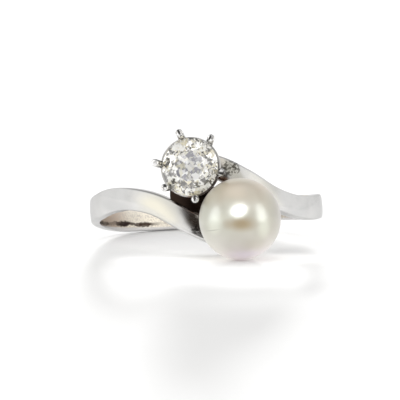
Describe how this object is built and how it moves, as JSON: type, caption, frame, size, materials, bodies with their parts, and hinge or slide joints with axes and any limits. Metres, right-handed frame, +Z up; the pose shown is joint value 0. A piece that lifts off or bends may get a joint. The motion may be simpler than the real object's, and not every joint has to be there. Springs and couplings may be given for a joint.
{
  "type": "pearl ring",
  "caption": "Crossover finger ring in white metal with a round pearl on a cup beside an old-cut diamond in a claw coronet, lying on its side.",
  "frame": {"origin": "point on the table under the middle of the ring's bounding box, as the ring lies on its side", "axes": "+Z up from the table, -Y towards the head with the two stones, +X to the right as the head is seen; the finger axis leans 10.5 degrees from +Z towards +Y"},
  "size_m": [0.0186, 0.0252, 0.0101],
  "materials": {
    "white_gold": "polished white gold",
    "diamond": "facet-cut, clear",
    "pearl": "cream, lustrous"
  },
  "bodies": {
    "root": {"band_and_settings": "white_gold", "diamond": "diamond", "pearl": "pearl"}
  },
  "joints": []
}
